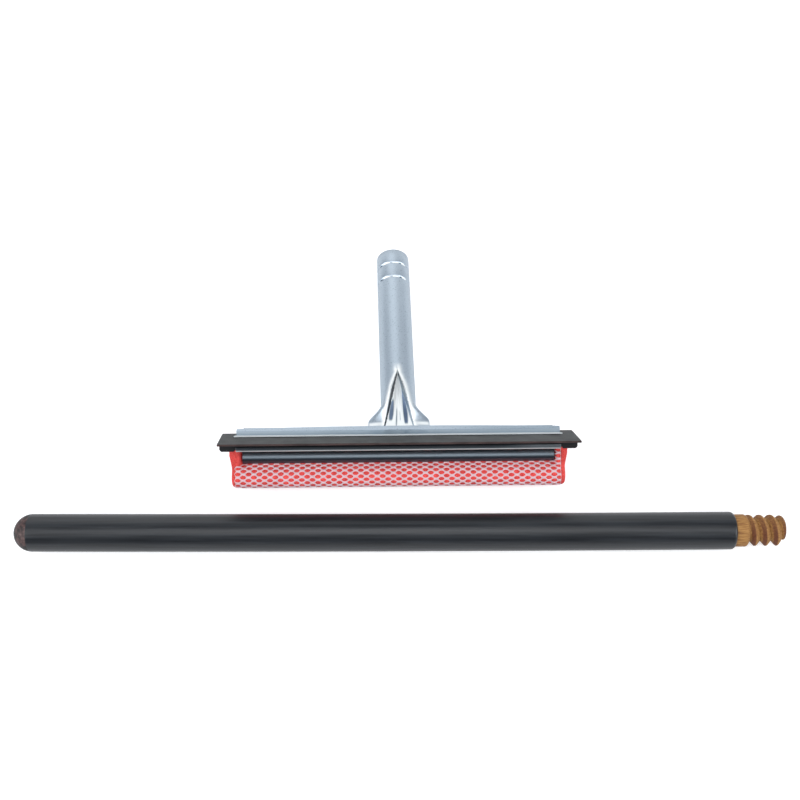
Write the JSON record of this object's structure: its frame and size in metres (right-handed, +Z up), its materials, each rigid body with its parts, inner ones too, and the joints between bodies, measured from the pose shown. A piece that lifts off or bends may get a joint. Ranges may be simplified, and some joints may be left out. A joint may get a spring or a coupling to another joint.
{
  "type": "window squeegee",
  "caption": "Window squeegee with a pressed steel head that grips a rubber blade and a netted sponge, and a painted wooden handle with a threaded tip, shown taken off in front of it.",
  "frame": {"origin": "centre of the footprint of head and handle together, on the floor they lie on", "axes": "+X along the handle, towards its threaded tip; +Y from the handle to the head's socket mouth; +Z up from the floor"},
  "size_m": [0.4532, 0.2091, 0.0521],
  "materials": {
    "zinc_plated_steel": "satin, with fine speckle",
    "polished_zinc_steel": "polished",
    "black_rubber": "matt",
    "red_foam": "open-cell foam, matt",
    "nylon_net": "knitted nylon thread, soft sheen",
    "painted_wood": "semi-gloss black paint, with the tip left bare"
  },
  "bodies": {
    "head": {"socket": "zinc_plated_steel", "upper_frame_plate": "zinc_plated_steel", "blade_jaw": "polished_zinc_steel", "sponge_clamp": "polished_zinc_steel", "lower_frame_plate": "zinc_plated_steel", "rubber_blade": "black_rubber", "sponge": "red_foam", "sponge_net": "nylon_net"},
    "handle": {"handle": "painted_wood"}
  },
  "joints": [
    {"name": "handle_turn", "type": "hinge", "parent": "head", "child": "handle", "pos_m": [0, -0.09346, 0.0111], "axis": [1, 0, 0], "continuous": true}
  ]
}
